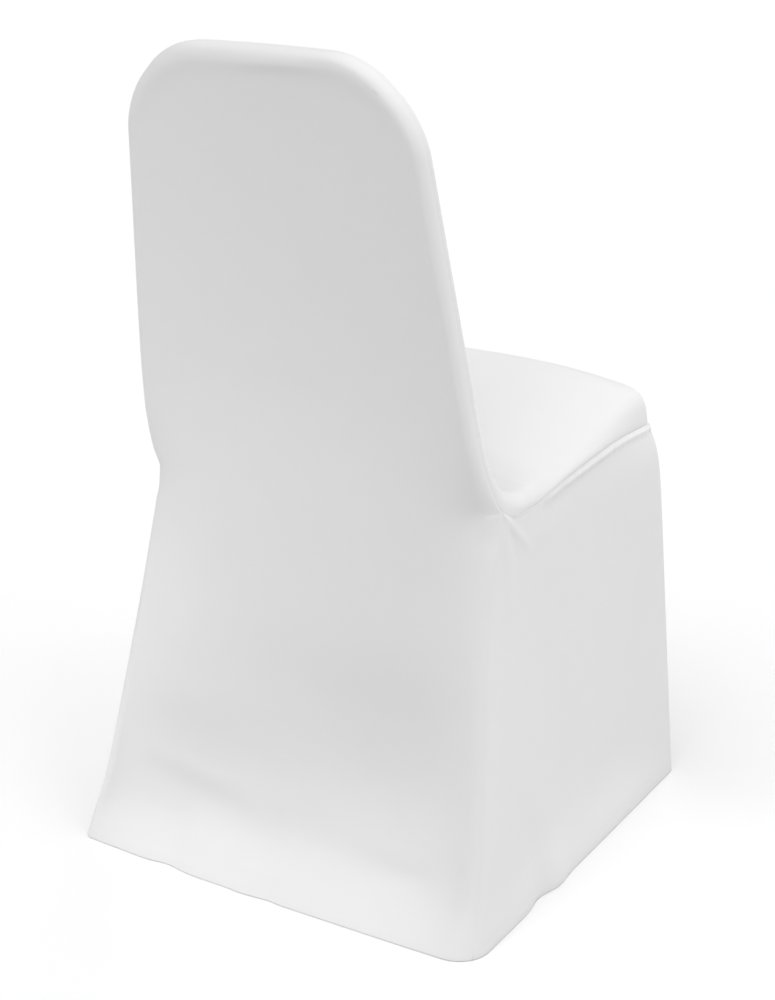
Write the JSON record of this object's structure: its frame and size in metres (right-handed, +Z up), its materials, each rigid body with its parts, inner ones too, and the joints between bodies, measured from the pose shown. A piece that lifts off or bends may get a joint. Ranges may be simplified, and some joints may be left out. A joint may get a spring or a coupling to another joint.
{
  "type": "fitted banquet chair cover",
  "caption": "Hollow fitted cover for a round-top banquet chair, in smooth white polyester, with a back sleeve, a seat and a flared skirt to the floor.",
  "frame": {"origin": "on the floor at the middle of the footprint", "axes": "+Z up; the chair that wears the cover faces -Y, so the outside of the back faces +Y; +X is the chair's left as seen from behind"},
  "size_m": [0.5121, 0.5165, 0.9039],
  "materials": {
    "back_panel_cloth": "smooth satin polyester",
    "front_and_seat_panel_cloth": "smooth satin polyester",
    "skirt_cloth": "smooth satin polyester"
  },
  "bodies": {
    "root": {"back_panel": "back_panel_cloth", "front_and_seat_panel": "front_and_seat_panel_cloth", "skirt": "skirt_cloth"}
  },
  "joints": []
}
